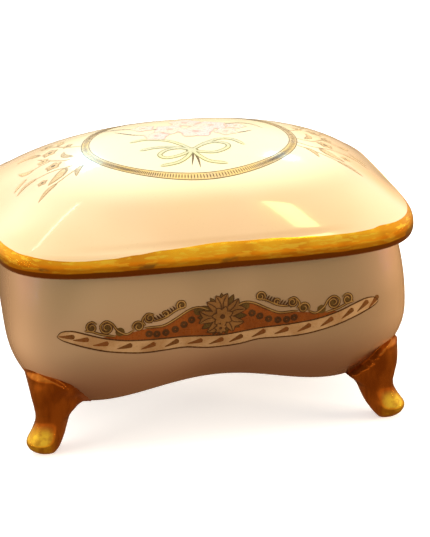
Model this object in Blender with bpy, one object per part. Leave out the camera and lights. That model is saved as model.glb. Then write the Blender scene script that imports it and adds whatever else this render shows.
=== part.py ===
"""Porcelain trinket box: a bombe bowl on four cabriole feet, closed by a domed lift-off lid.

Metres throughout. +Z is up, the front faces -Y, and the origin is on the table at the middle of
the footprint. Every level of the box is a superellipse ring, so the pieces share one ring function
and are lofted from it. Pieces that meet keep a hairline gap.
"""
import math

import bmesh
import bpy
from mathutils import Vector

# ---------------------------------------------------------------- driving sizes
LIP_WIDTH = 0.1520          # over the gilt lip, left to right
LIP_DEPTH = 0.1204          # over the gilt lip, front to back
FOOT_HEIGHT = 0.0153        # table to the bowl's hem at the corners
BOWL_HEIGHT = 0.0537        # hem at the corners to the rim
DOME_RISE = 0.0289          # lid's seat to its crown

# ---------------------------------------------------------------- the bowl
NECK_INSET = 0.0068         # lip's edge to the bowl's rim, seen from above
BULGE_INSET = 0.0030        # lip's edge to the fullest part of the belly
HEM_INSET = 0.0160          # lip's edge to the hem
BULGE_SHARE = 0.48          # how far up the wall the belly is fullest
BOWL_SQUARENESS = 5.6       # superellipse exponent, 2 is an ellipse
WALL = 0.0035               # thickness of the wall
FLOOR = 0.0030              # thickness of the floor
FLOOR_LIFT = 0.0085         # hem at the corners to the underside of the floor
FLOOR_RADIUS = 0.0080       # hollow between the floor and the wall, inside
HEM_THICKNESS = 0.0042      # width of the hem, seen from below
FRONT_ARCH = 0.0063         # rise of the hem at the middle of the front and back
SIDE_ARCH = 0.0035          # rise of the hem at the middle of each side
ARCH_MARGIN = 0.0140        # hem's half length less the half length of an arch

# ---------------------------------------------------------------- the lid
SEAT_GAP = 0.0003           # rim to the underside of the lid
LID_SQUARENESS = 4.7        # superellipse exponent at the lip
SQUARING_POWER = 3.0        # how late the round crown turns into the squarer lip
CAP_REACH = 1.072           # where the dome alone would come down to the seat
CAP_POWER = 2.94            # fullness of the dome
FLARE_EDGE = 0.0034         # height of the flare alone at the lip
FLARE_RISE = 0.0090         # its climb from the lip to the crown
FLARE_BLEND = 0.0020        # softness of the turn from dome to flare
LID_WALL = 0.0032           # thickness of the dome
LIP_TOP_INSET = 0.0020      # lip's edge to the gilding's upper border
LIP_FOOT_INSET = 0.0050     # lip's edge to the gilding's border on the seat
SEAT_INNER_INSET = 0.0150   # lip's edge to the inner border of the seat

# ---------------------------------------------------------------- locating ring under the lid
RING_CLEARANCE = 0.0008     # play between the ring and the inside of the rim
RING_THICKNESS = 0.0025
RING_DROP = 0.0045          # how far it reaches below the seat

# ---------------------------------------------------------------- the feet
HAIRLINE = 0.0003           # gap that keeps two pieces apart
KNEE_RISE = 0.0182          # hem to the top of the knee
KNEE_PROUD = 0.0006         # how far the top of the knee stands out from the wall
TOE_ANGLE = math.radians(42)  # direction of a toe from the box's long axis

# Levels of a foot. Height is a share of the foot's height below the hem, then of the knee's rise
# above it. The others are metres from the hem's corner, outwards along the toe: the back of the
# section, its widest place, its front, and half its width.
LEG_LEVELS = (
    (0.00, 0.0108, 0.0140, 0.0172, 0.0030),
    (0.05, 0.0094, 0.0141, 0.0192, 0.0043),
    (0.16, 0.0084, 0.0146, 0.0210, 0.0053),
    (0.33, 0.0078, 0.0152, 0.0217, 0.0056),
    (0.51, 0.0070, 0.0142, 0.0203, 0.0051),
    (0.67, 0.0050, 0.0118, 0.0178, 0.0046),
    (0.84, 0.0010, 0.0088, 0.0165, 0.0053),
    (0.97, -0.0040, 0.0045, 0.0164, 0.0073),
)
# Height, back, widest place and half width of the knee. Its front runs up in a straight line.
KNEE_LEVELS = (
    (0.20, -0.0080, 0.0004, 0.0102),
    (0.40, -0.0060, 0.0025, 0.0103),
    (0.60, -0.0030, 0.0060, 0.0090),
    (0.80, 0.0000, 0.0090, 0.0064),
    (1.00, 0.0060, 0.0120, 0.0026),
)

# ---------------------------------------------------------------- fineness of the meshes
AROUND = 64                 # points on a ring of the bowl or lid
CORNER_CROWDING = 0.10      # radians that a ring's points shift towards its corners
FOOT_AROUND = 24            # points on a ring of a foot

# ---------------------------------------------------------------- worked out from the sizes
HALF_WIDTH = LIP_WIDTH / 2
HALF_DEPTH = LIP_DEPTH / 2
RIM_Z = FOOT_HEIGHT + BOWL_HEIGHT
SEAT_Z = RIM_Z + SEAT_GAP
UNDERSIDE_Z = FOOT_HEIGHT + FLOOR_LIFT
FLOOR_Z = UNDERSIDE_Z + FLOOR
RIM_INNER_INSET = NECK_INSET + WALL

IVORY = (0.86, 0.78, 0.62)
GOLD = (0.72, 0.45, 0.10)


def clear_scene():
    """Empty the scene, so that the script gives the same model wherever it is run."""
    for old in list(bpy.data.objects):
        bpy.data.objects.remove(old, do_unlink=True)


def make_collection(name):
    collection = bpy.data.collections.new(name)
    bpy.context.scene.collection.children.link(collection)
    return collection


def make_material(name, color, roughness, metallic):
    material = bpy.data.materials.new(name)
    material.use_nodes = True
    shader = material.node_tree.nodes["Principled BSDF"]
    shader.inputs["Base Color"].default_value = (*color, 1.0)
    shader.inputs["Roughness"].default_value = roughness
    shader.inputs["Metallic"].default_value = metallic
    return material


# ---------------------------------------------------------------- rings
def ring(half_width, half_depth, squareness, height, count=AROUND):
    """Superellipse ring, anticlockwise seen from above. height is a number or a function of x, y."""
    points = []
    for index in range(count):
        angle = 2 * math.pi * index / count
        angle += CORNER_CROWDING * math.sin(4 * angle)
        across, along = math.cos(angle), math.sin(angle)
        radius = (abs(across) ** squareness + abs(along) ** squareness) ** (-1 / squareness)
        x = half_width * across * radius
        y = half_depth * along * radius
        z = height(x, y) if callable(height) else height
        points.append(Vector((x, y, z)))
    return points


def loft(rings, name, collection, material):
    """One closed body through the rings, with a fan to the middle of the first and the last."""
    bm = bmesh.new()
    rows = [[bm.verts.new(point) for point in row] for row in rings]
    for lower, upper in zip(rows, rows[1:]):
        for index in range(len(lower)):
            after = (index + 1) % len(lower)
            bm.faces.new((lower[index], lower[after], upper[after], upper[index]))
    for row in (rows[0], rows[-1]):
        middle = bm.verts.new(sum((vert.co for vert in row), Vector()) / len(row))
        for index in range(len(row)):
            bm.faces.new((row[index], row[(index + 1) % len(row)], middle))
    return finish_mesh(bm, name, collection, material)


def loft_hoop(rings, name, collection, material):
    """One closed hoop: the last ring joins the first."""
    bm = bmesh.new()
    rows = [[bm.verts.new(point) for point in row] for row in rings]
    for lower, upper in zip(rows, rows[1:] + rows[:1]):
        for index in range(len(lower)):
            after = (index + 1) % len(lower)
            bm.faces.new((lower[index], lower[after], upper[after], upper[index]))
    return finish_mesh(bm, name, collection, material)


def finish_mesh(bm, name, collection, material):
    bmesh.ops.recalc_face_normals(bm, faces=bm.faces)
    mesh = bpy.data.meshes.new(name)
    bm.to_mesh(mesh)
    bm.free()
    mesh.shade_smooth()
    mesh.set_sharp_from_angle(angle=math.radians(40))
    if material:
        mesh.materials.append(material)
    piece = bpy.data.objects.new(name, mesh)
    collection.objects.link(piece)
    return piece


# ---------------------------------------------------------------- the bowl's surfaces
def wall_inset(share):
    """Inset of the wall's outside, share being 0 at the hem and 1 at the rim."""
    if share < BULGE_SHARE:
        away = (BULGE_SHARE - share) / BULGE_SHARE
        return BULGE_INSET + (HEM_INSET - BULGE_INSET) * away ** 2
    away = (share - BULGE_SHARE) / (1 - BULGE_SHARE)
    return BULGE_INSET + (NECK_INSET - BULGE_INSET) * away ** 2


def arch(along, half_length):
    """Rise of the hem as a share, 1 at the middle of a side and 0 from half_length outwards."""
    return 0.5 * (1 + math.cos(math.pi * min(abs(along) / half_length, 1)))


def hem_height(x, y):
    """Height of the hem under a point of the wall, whose front and sides are each arched."""
    hem_half_width = HALF_WIDTH - HEM_INSET
    hem_half_depth = HALF_DEPTH - HEM_INSET
    front = arch(x, hem_half_width - ARCH_MARGIN)
    side = arch(y, hem_half_depth - ARCH_MARGIN)
    return FOOT_HEIGHT + FRONT_ARCH * front * (1 - side) + SIDE_ARCH * side * (1 - front)


def bowl_ring(inset, height, squareness=BOWL_SQUARENESS):
    return ring(HALF_WIDTH - inset, HALF_DEPTH - inset, squareness, height)


def outside_ring(share, grow=0.0):
    """Ring of the wall's outside, grown outwards. The rings near the hem follow its arches."""
    def height(x, y):
        hem = hem_height(x, y)
        return hem + (RIM_Z - hem) * share
    return bowl_ring(wall_inset(share) - grow, height)


def share_at(z):
    """Share of the wall's height at a corner, where the hem isn't arched."""
    return (z - FOOT_HEIGHT) / BOWL_HEIGHT


def bowl_rings():
    """Under the floor, round the hem, up the outside, over the rim and down the inside."""
    recess_inset = HEM_INSET + HEM_THICKNESS
    rings = [bowl_ring(recess_inset + 0.010, UNDERSIDE_Z), bowl_ring(recess_inset, UNDERSIDE_Z)]
    rings.append(bowl_ring(recess_inset, lambda x, y: hem_height(x, y) + 0.0008))
    rings.append(bowl_ring(recess_inset - 0.0010, hem_height))
    rings.append(bowl_ring(HEM_INSET + 0.0008, hem_height))
    for share in (0.015, 0.06, 0.12, 0.20, 0.30, 0.42, 0.54, 0.66, 0.78, 0.90, 0.985):
        rings.append(outside_ring(share))
    rings.append(bowl_ring(NECK_INSET + 0.0006, RIM_Z))
    rings.append(bowl_ring(RIM_INNER_INSET - 0.0006, RIM_Z))
    inside_top = RIM_Z - 0.0006
    inside_bottom = FLOOR_Z + FLOOR_RADIUS
    for step in range(6):
        z = inside_top + (inside_bottom - inside_top) * step / 5
        rings.append(bowl_ring(wall_inset(share_at(z)) + WALL, z))
    for step in range(1, 4):
        turn = math.radians(30 * step)
        inset = wall_inset(share_at(inside_bottom)) + WALL + FLOOR_RADIUS * (1 - math.cos(turn))
        rings.append(bowl_ring(inset, inside_bottom - FLOOR_RADIUS * math.sin(turn)))
    return rings


# ---------------------------------------------------------------- the lid's surfaces
def dome_height(share):
    """Height above the seat, share being 0 at the crown and 1 at the lip: a dome that runs out
    into a flatter flare, the higher of the two with a soft turn between them."""
    dome = DOME_RISE * (1 - (share / CAP_REACH) ** CAP_POWER)
    flare = FLARE_EDGE + FLARE_RISE * (1 - share)
    total = math.exp(dome / FLARE_BLEND) + math.exp(flare / FLARE_BLEND)
    return FLARE_BLEND * math.log(total)


def lid_ring(share, height):
    squareness = 2 + (LID_SQUARENESS - 2) * share ** SQUARING_POWER
    return ring(HALF_WIDTH * share, HALF_DEPTH * share, squareness, height)


def lid_inset_ring(inset, rise):
    return ring(HALF_WIDTH - inset, HALF_DEPTH - inset, LID_SQUARENESS, SEAT_Z + rise)


def share_of(inset):
    return 1 - inset / HALF_WIDTH


def lid_rings():
    """Over the dome from crown to gilding, down the joint, along the seat and up the inside."""
    rings = []
    edge = share_of(LIP_TOP_INSET + HAIRLINE)
    for part in (0.10, 0.25, 0.40, 0.53, 0.65, 0.75, 0.83, 0.89, 0.94, 0.975):
        rings.append(lid_ring(edge * part, SEAT_Z + dome_height(edge * part)))
    rings.append(lid_inset_ring(LIP_TOP_INSET + HAIRLINE, dome_height(edge)))
    rings.append(lid_inset_ring(LIP_FOOT_INSET + HAIRLINE, 0.0))
    rings.append(lid_inset_ring(SEAT_INNER_INSET, 0.0))
    seat_share = share_of(SEAT_INNER_INSET)
    for part in (0.97, 0.90, 0.78, 0.62, 0.44, 0.25, 0.10):
        share = seat_share * part
        rings.append(lid_ring(share, SEAT_Z + dome_height(share) - LID_WALL))
    return rings


def lip_rings():
    """Section of the gilt lip: a roll from the dome's border round to the seat."""
    top = dome_height(share_of(LIP_TOP_INSET))
    edge = dome_height(1.0)
    return [
        lid_inset_ring(LIP_FOOT_INSET, 0.0),
        lid_inset_ring(LIP_FOOT_INSET / 2, 0.0),
        lid_inset_ring(0.22 * LIP_FOOT_INSET, 0.12 * edge),
        lid_inset_ring(0.06 * LIP_FOOT_INSET, 0.30 * edge),
        lid_inset_ring(0.0, 0.52 * edge),
        lid_inset_ring(0.12 * LIP_TOP_INSET, 0.78 * edge),
        lid_inset_ring(0.42 * LIP_TOP_INSET, 1.02 * edge),
        lid_inset_ring(LIP_TOP_INSET, top),
    ]


def locating_ring_rings():
    """Section of the ring under the lid, which drops inside the rim with play all round."""
    outer = RIM_INNER_INSET + RING_CLEARANCE
    inner = outer + RING_THICKNESS
    chamfer = RING_THICKNESS / 4
    sections = (
        (inner, -HAIRLINE),
        (inner, chamfer - RING_DROP),
        (inner - chamfer, -RING_DROP),
        (outer + chamfer, -RING_DROP),
        (outer, chamfer - RING_DROP),
        (outer, -HAIRLINE),
    )
    return [bowl_ring(inset, SEAT_Z + rise) for inset, rise in sections]


# ---------------------------------------------------------------- the feet
def corner_point(inset):
    """Where the bowl's ring crosses its own corner, in the quarter where x and y are positive."""
    reach = 0.5 ** (1 / BOWL_SQUARENESS)
    return Vector(((HALF_WIDTH - inset) * reach, (HALF_DEPTH - inset) * reach, 0))


def foot_section(z, back, widest, front, half_width):
    """Two half ellipses, back to back at the widest place, across the line of the toe."""
    outwards = Vector((math.cos(TOE_ANGLE), math.sin(TOE_ANGLE), 0))
    across = Vector((-math.sin(TOE_ANGLE), math.cos(TOE_ANGLE), 0))
    start = corner_point(HEM_INSET)
    points = []
    for index in range(FOOT_AROUND):
        angle = 2 * math.pi * index / FOOT_AROUND
        reach = front - widest if math.cos(angle) > 0 else widest - back
        along = widest + reach * math.cos(angle)
        point = start + outwards * along + across * half_width * math.sin(angle)
        points.append(Vector((point.x, point.y, z)))
    return points


def foot_rings():
    outwards = Vector((math.cos(TOE_ANGLE), math.sin(TOE_ANGLE), 0))
    rings = []
    for share, back, widest, front, half_width in LEG_LEVELS:
        rings.append(foot_section(FOOT_HEIGHT * share, back, widest, front, half_width))
    ankle_front = LEG_LEVELS[-1][3]
    top_inset = wall_inset(share_at(FOOT_HEIGHT + KNEE_RISE))
    wall_reach = (corner_point(top_inset) - corner_point(HEM_INSET)).dot(outwards)
    for share, back, widest, half_width in KNEE_LEVELS:
        front = ankle_front + (wall_reach + KNEE_PROUD - ankle_front) * share
        z = FOOT_HEIGHT + KNEE_RISE * share
        rings.append(foot_section(z, back, widest, front, half_width))
    return rings


def quarter(rings, side_x, side_y):
    """The rings of a foot turned into another corner of the box."""
    return [[Vector((p.x * side_x, p.y * side_y, p.z)) for p in row] for row in rings]


def make_wall_cutter(collection):
    """The bowl's outside as a solid, grown by the hairline gap, which cuts the feet."""
    shares = (0.0, 0.06, 0.12, 0.20, 0.30, 0.42, 0.54, 0.66, 0.78, 0.90, 1.0)
    rings = [outside_ring(share, HAIRLINE) for share in shares]
    for point in rings[0]:
        point.z -= HAIRLINE
    cutter = loft(rings, "wall_cutter", collection, None)
    cutter.hide_render = True
    cutter.display_type = "WIRE"
    return cutter


def add_cut(piece, cutter):
    cut = piece.modifiers.new("fit_to_wall", "BOOLEAN")
    cut.operation = "DIFFERENCE"
    cut.object = cutter


def build():
    clear_scene()
    box = make_collection("porcelain_trinket_box")
    cutters = make_collection("cutters")
    base_glaze = make_material("base_glaze", IVORY, 0.12, 0.0)
    lid_glaze = make_material("lid_glaze", IVORY, 0.10, 0.0)
    ring_glaze = make_material("ring_glaze", IVORY, 0.30, 0.0)
    lip_gold = make_material("lip_gold", GOLD, 0.16, 1.0)
    loft(bowl_rings(), "base_bowl", box, base_glaze)
    loft(lid_rings(), "lid_dome", box, lid_glaze)
    loft_hoop(lip_rings(), "lid_gilt_lip", box, lip_gold)
    loft_hoop(locating_ring_rings(), "lid_locating_ring", box, ring_glaze)
    cutter = make_wall_cutter(cutters)
    rings = foot_rings()
    corners = (("front_left", -1, -1), ("front_right", 1, -1), ("rear_left", -1, 1), ("rear_right", 1, 1))
    for place, side_x, side_y in corners:
        foot_gold = make_material(place + "_foot_gold", GOLD, 0.18, 1.0)
        foot = loft(quarter(rings, side_x, side_y), place + "_foot", box, foot_gold)
        add_cut(foot, cutter)


build()
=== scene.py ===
# %% [markdown]
# # A porcelain trinket box
# The box is a bombe bowl on four gilded cabriole feet, closed by a domed lift-off lid with a gilded
# lip. Printed transfers decorate the front and the lid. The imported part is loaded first, and every
# place below is worked out from its sizes, so that each finer piece sits exactly where the plain
# one sat.

import math

import bmesh
import bpy
from mathutils import Matrix, Vector


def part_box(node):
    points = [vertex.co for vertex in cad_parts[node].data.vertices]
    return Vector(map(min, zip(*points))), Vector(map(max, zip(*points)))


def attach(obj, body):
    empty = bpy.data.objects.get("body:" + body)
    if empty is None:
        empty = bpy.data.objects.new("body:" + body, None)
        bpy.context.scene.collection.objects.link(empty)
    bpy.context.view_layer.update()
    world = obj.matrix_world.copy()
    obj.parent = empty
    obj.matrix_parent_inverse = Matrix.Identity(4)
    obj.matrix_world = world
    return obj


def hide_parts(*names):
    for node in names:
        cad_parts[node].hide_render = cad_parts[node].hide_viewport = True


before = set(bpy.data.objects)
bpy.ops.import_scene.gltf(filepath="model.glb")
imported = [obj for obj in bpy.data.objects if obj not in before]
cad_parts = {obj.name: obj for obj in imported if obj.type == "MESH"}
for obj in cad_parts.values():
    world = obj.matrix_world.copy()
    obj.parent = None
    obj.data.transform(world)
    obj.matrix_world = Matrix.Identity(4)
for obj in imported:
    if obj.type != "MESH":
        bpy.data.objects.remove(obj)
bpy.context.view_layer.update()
scene = bpy.context.scene

# %% [markdown]
# A box like this is measured at its lip, its rim and its hem, as a potter would take it with
# callipers. Those sizes are read from the part. The smaller ones, such as insets, are the maker's
# own and are given in metres.

# %% sizes read from the part
lip_low, lip_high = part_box("lid_gilt_lip")
bowl_low, bowl_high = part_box("base_bowl")
HALF_WIDTH, HALF_DEPTH = lip_high.x, lip_high.y
SEAT_Z = lip_low.z
RIM_Z = bowl_high.z
HEM_Z = bowl_low.z
CROWN_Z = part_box("lid_dome")[1].z
DOME_RISE = 0.0289
print(f"lip {2 * HALF_WIDTH:.4f} x {2 * HALF_DEPTH:.4f}, hem {HEM_Z:.4f}, rim {RIM_Z:.4f}")

# %% sizes of the bowl's wall
NECK_INSET = 0.0068
BULGE_INSET = 0.0030
HEM_INSET = 0.0160
BULGE_SHARE = 0.48
BOWL_SQUARENESS = 5.6
WALL = 0.0035
HEM_THICKNESS = 0.0042
UNDERSIDE_Z = HEM_Z + 0.0085
FLOOR_Z = UNDERSIDE_Z + 0.0030
FLOOR_RADIUS = 0.0080
FRONT_ARCH, SIDE_ARCH = 0.0063, 0.0035
ARCH_MARGIN = 0.0140
print(f"belly {HALF_WIDTH - BULGE_INSET:.4f}, neck {HALF_WIDTH - NECK_INSET:.4f} from the middle")

# %% sizes of the lid
LID_SQUARENESS = 4.7
CAP_REACH, CAP_POWER = 1.072, 2.94
FLARE_EDGE, FLARE_RISE, FLARE_BLEND = 0.0034, 0.0090, 0.0020
LID_WALL = 0.0032
LIP_TOP_INSET = 0.0020
SEAT_INNER_INSET = 0.0150
print(f"dome rises {CROWN_Z - SEAT_Z:.4f} over its seat")

# %% [markdown]
# The camera stands a little to the left of the box and looks down on it, with a long lens that
# hardly narrows the far side. Its place is given as a turn, a tilt and a distance round a target on
# the box, because those are the numbers that a photographer would change.

# %% camera
AZIMUTH = math.radians(-10.785)
ELEVATION = math.radians(21.7655)
ROLL = math.radians(1.055)
DISTANCE = 0.58675
TARGET = Vector((0.0090, 0.0, 0.0486))
back = Vector((math.sin(AZIMUTH) * math.cos(ELEVATION), -math.cos(AZIMUTH) * math.cos(ELEVATION),
               math.sin(ELEVATION)))
level = Vector((math.cos(AZIMUTH), math.sin(AZIMUTH), 0))
upright = back.cross(level)
right = level * math.cos(ROLL) - upright * math.sin(ROLL)
up = level * math.sin(ROLL) + upright * math.cos(ROLL)
camera_data = bpy.data.cameras.new("camera")
camera_data.sensor_width = 36
camera_data.lens = 103.88
camera_data.shift_x = -0.0011
camera_data.shift_y = -0.0194
camera = bpy.data.objects.new("camera", camera_data)
CAMERA_PLACE = TARGET + back * DISTANCE
camera.matrix_world = Matrix.Translation(CAMERA_PLACE) @ Matrix((right, up, back)).transposed().to_4x4()
scene.collection.objects.link(camera)
scene.camera = camera
scene.view_settings.view_transform = "Standard"
print("camera at", [round(c, 3) for c in CAMERA_PLACE])

# %% [markdown]
# Glaze, gilding and ink all vary over their surface, and that variation is arithmetic on noise. A
# `Wire` stands for the output of a node and turns Python's own operators into Math nodes, so that a
# recipe reads as a sum. Every other node is made by one method that sets the node up first and
# then fills its sockets.

# %% shader helpers
def sum_node(operation, swapped=False):
    """An operator of Wire that adds a Math node. swapped serves a plain number on the left."""
    def operator(wire, other):
        values = (other, wire) if swapped else (wire, other)
        return wire.finish.node("ShaderNodeMath", {"operation": operation}, dict(enumerate(values)))
    return operator


class Wire:
    """A node's output socket that can be used in sums."""

    __add__, __radd__ = sum_node("ADD"), sum_node("ADD", True)
    __sub__, __rsub__ = sum_node("SUBTRACT"), sum_node("SUBTRACT", True)
    __mul__, __rmul__ = sum_node("MULTIPLY"), sum_node("MULTIPLY", True)

    def __init__(self, finish, socket):
        self.finish = finish
        self.socket = socket

    def __abs__(self):
        return self.finish.node("ShaderNodeMath", {"operation": "ABSOLUTE"}, {0: self})

    def ramp(self, low, high):
        """0 below low, 1 above high and a smooth turn between."""
        return self.finish.node("ShaderNodeMapRange", {"interpolation_type": "SMOOTHERSTEP"},
                                {"Value": self, "From Min": low, "From Max": high})


class Recipe:
    """A node tree under construction."""

    def __init__(self, tree):
        self.tree = tree

    def node(self, kind, settings=None, values=None, output=0):
        made = self.tree.nodes.new(kind)
        for key, value in (settings or {}).items():
            setattr(made, key, value)
        for key, value in (values or {}).items():
            self.feed(made.inputs[key], value)
        return Wire(self, made.outputs[output])

    def feed(self, socket, value):
        if isinstance(value, Wire):
            self.tree.links.new(value.socket, socket)
        else:
            socket.default_value = value

    def mix(self, factor, first, second):
        """Colour first at factor 0 and second at factor 1. Colours are (red, green, blue)."""
        colours = [c if isinstance(c, Wire) else (*c, 1.0) for c in (first, second)]
        return self.node("ShaderNodeMix", {"data_type": "RGBA"},
                         {0: factor, 6: colours[0], 7: colours[1]}, output=2)


class Finish(Recipe):
    """A material under construction: one Principled shader and the nodes that feed it."""

    def __init__(self, name, **constants):
        self.material = bpy.data.materials.new(name)
        self.material.use_nodes = True
        super().__init__(self.material.node_tree)
        self.shader = self.tree.nodes["Principled BSDF"]
        for socket, value in constants.items():
            self.shader.inputs[socket.replace("_", " ")].default_value = value
        self.place = self.node("ShaderNodeTexCoord", output="Object")

    def axis(self, name):
        """The place along X, Y or Z, in metres."""
        return self.node("ShaderNodeSeparateXYZ", None, {"Vector": self.place}, output=name)

    def noise(self, scale, detail=2.0, stretch=(1, 1, 1), seed=0.0):
        """Cloudy noise from 0 to 1. scale is in grains to the metre."""
        moved = self.node("ShaderNodeMapping", None,
                          {"Vector": self.place, "Location": (seed, seed, seed), "Scale": stretch})
        return self.node("ShaderNodeTexNoise", None, {"Vector": moved, "Scale": scale, "Detail": detail})

    def bump(self, height, distance, strength=1.0):
        return self.node("ShaderNodeBump", None,
                         {"Height": height, "Distance": distance, "Strength": strength})

    def set(self, **sockets):
        """Feed the shader's sockets, and hand the material back."""
        for socket, value in sockets.items():
            self.feed(self.shader.inputs[socket.replace("_", " ")], value)
        return self.material


print("shader helpers ready")

# %% [markdown]
# The porcelain is covered by a lustre glaze: a clear glossy coat with a faint pearly sheen that
# wanders between ivory and peach. The lid is the paler piece: its glaze is lighter and yellower on
# its crown, which is painted light where the top of the dome faces the overhead light. The bowl is
# the same porcelain under the same glaze, but duller, and its colour is a darker, browner copy of
# the lid's, which is painted shade. It darkens further towards its hem, which is painted shade too.
# The sheen is a thin film on the shader, which is the same everywhere. The wandering comes from slow
# noise and the change with height from a ramp along Z.

# %% glazes
WARM_SHINE = (1.0, 0.86, 0.68, 1.0)


def lustre_glaze(name, pale, deep, blush, film, low=None, high=None, shine=0.5, coat=0.5):
    glaze = Finish(name, Coat_Roughness=0.03, Coat_IOR=1.5, IOR=1.5, Thin_Film_Thickness=film,
                   Thin_Film_IOR=1.6, Specular_IOR_Level=shine, Specular_Tint=WARM_SHINE)
    cloud = glaze.noise(16, 2.0, seed=3.0).ramp(0.35, 0.65)
    flush = glaze.noise(24, 1.0, (1, 1, 0.5), seed=8.0).ramp(0.45, 0.75)
    speck = glaze.noise(1600, 1.0).ramp(0.66, 0.74)
    colour = glaze.mix(flush * 0.5, glaze.mix(cloud, pale, deep), blush)
    # The low colour darkens the glaze towards the hem: painted shade.
    if low:
        hem_shade, from_z, to_z = low
        colour = glaze.mix(0.65 - glaze.axis("Z").ramp(from_z, to_z) * 0.65, colour, hem_shade)
    # The high colour lightens the top of the lid: painted light where the dome faces the overhead light.
    if high:
        crown_light, from_z, to_z = high
        colour = glaze.mix(glaze.axis("Z").ramp(from_z, to_z), colour, crown_light)
    colour = glaze.mix(speck * 0.10, colour, (0.35, 0.24, 0.14))
    ripple = glaze.noise(120, 1.0)
    return glaze.set(Base_Color=colour, Roughness=0.10 + glaze.noise(60, 2.0) * 0.06,
                     Coat_Weight=coat + cloud * 0.2, Normal=glaze.bump(ripple, 0.00004, 0.6))


# The lid's crown colour is painted light on the top of the dome.
lid_glaze = lustre_glaze("lid_glaze", (0.71, 0.53, 0.32), (0.64, 0.45, 0.24), (0.67, 0.44, 0.26), 420,
                         high=((0.88, 0.80, 0.49), CROWN_Z - 0.012, CROWN_Z - 0.002))
# The bowl's glaze is a darker, browner copy of the lid's: painted shade for the shade the bowl stands in.
shaded_bowl_glaze = lustre_glaze("shaded_bowl_glaze", (0.39, 0.255, 0.142), (0.275, 0.174, 0.090), (0.345, 0.21, 0.11), 380,
                          low=((0.20, 0.090, 0.034), HEM_Z + 0.002, HEM_Z + 0.030), shine=0.3, coat=0.25)
inner_glaze = lustre_glaze("inner_glaze", (0.84, 0.74, 0.56), (0.80, 0.68, 0.48), (0.84, 0.66, 0.46), 380)
print("glazes:", lid_glaze.name, shaded_bowl_glaze.name)

# %% [markdown]
# A locating ring under a lid is wiped free of glaze where it may touch, so it is duller and a
# little grainy.

# %% bisque of the locating ring
bisque = Finish("ring_bisque", IOR=1.5)
grain = bisque.noise(2200, 3.0)
ring_bisque = bisque.set(Base_Color=bisque.mix(grain.ramp(0.3, 0.7), (0.80, 0.69, 0.52), (0.86, 0.77, 0.61)),
                         Roughness=0.42 + grain * 0.2, Normal=bisque.bump(grain, 0.00005, 0.8))
print("bisque:", ring_bisque.name)

# %% [markdown]
# Bright gold is brushed on as a liquid and fired. Where the brush left it thin it is yellow, where
# it pooled it is a deep amber, and the streaks run along the stroke. On the lip the strokes run
# round the box, so the noise is squeezed along Z. Brown patches lie along the middle of the lip.
# Under its roll the gold is painted a dark red-brown with a wobbling border, which is painted shade
# where the roll faces down. The feet have a darker, redder copy of the gold, which is painted shade,
# and the outer side of their toes is painted a bright yellow, which is a painted highlight. A fired
# film of gold is not quite a metal: a little of the light is scattered, so Metallic stays below 1.

# %% gilding of the lip
gilding = Finish("lip_gilding", Metallic=0.86, Specular_IOR_Level=0.6)
streak = gilding.noise(420, 3.0, (0.5, 0.5, 2.6), seed=2.0)
pool = gilding.noise(55, 2.0, seed=5.0).ramp(0.35, 0.7)
height_on_lip = gilding.axis("Z")
wobble = gilding.noise(70, 2.0, seed=7.0) * 0.0012
# Under its roll the gold is painted dark red-brown: painted shade where the roll faces down.
under_roll_shade = 1.0 - (height_on_lip + wobble).ramp(SEAT_Z + 0.0022, SEAT_Z + 0.0027)
# Brown patches along the middle of the lip.
brown_patches = gilding.noise(75, 3.0, (1, 1, 2.2), seed=11.0).ramp(0.55, 0.66)
middle_of_lip = height_on_lip.ramp(SEAT_Z + 0.0012, SEAT_Z + 0.0020)
middle_of_lip *= 1.0 - height_on_lip.ramp(SEAT_Z + 0.0026, SEAT_Z + 0.0046)
gold = gilding.mix(pool, (1.0, 0.51, 0.018), (0.80, 0.31, 0.008))
gold = gilding.mix(streak.ramp(0.52, 0.60) * 0.6, gold, (1.0, 0.66, 0.050))
gold = gilding.mix(brown_patches * middle_of_lip * 0.8, gold, (0.30, 0.15, 0.03))
gold = gilding.mix(under_roll_shade * 0.95, gold, (0.28, 0.070, 0.004))
lip_gilding = gilding.set(Base_Color=gold, Roughness=0.10 + streak * 0.16,
                          Normal=gilding.bump(streak * 0.5 + gilding.noise(160, 2.0), 0.00006, 0.7))
print("gilding:", lip_gilding.name)

# %% gilding of the feet
foot_gold = Finish("foot_gilding", Metallic=0.92, Specular_IOR_Level=0.6)
drag = foot_gold.noise(220, 2.0, (1.6, 1.6, 0.5), seed=4.0)
# The outer side of the toes is painted bright yellow: a painted highlight.
toe_highlight = 1.0 - foot_gold.axis("Z").ramp(0.0080, 0.0120)
outer_side = abs(foot_gold.axis("X")).ramp(0.0575, 0.0630)
toe_highlight_patches = foot_gold.noise(260, 2.0, seed=9.0).ramp(0.38, 0.60)
# The feet's gold is a darker, redder copy of the lip's: painted shade for the dark beneath the box.
gold = foot_gold.mix(drag.ramp(0.3, 0.7), (0.62, 0.185, 0.018), (0.44, 0.120, 0.010))
gold = foot_gold.mix(toe_highlight * outer_side * (0.5 + toe_highlight_patches * 0.5), gold, (1.0, 0.60, 0.04))
foot_gilding = foot_gold.set(Base_Color=gold, Roughness=0.14 + drag * 0.12,
                             Normal=foot_gold.bump(drag * 0.15 + foot_gold.noise(160, 2.0), 0.00006, 0.6))
print("gilding:", foot_gilding.name)

# %% [markdown]
# A transfer is printed in enamel inks and fired on. Each ink is flat in the middle and thinner at
# places, so it gets a faint mottling. The gold lines of the transfer are printed too, and shine
# less than brushed gilding.

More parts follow.
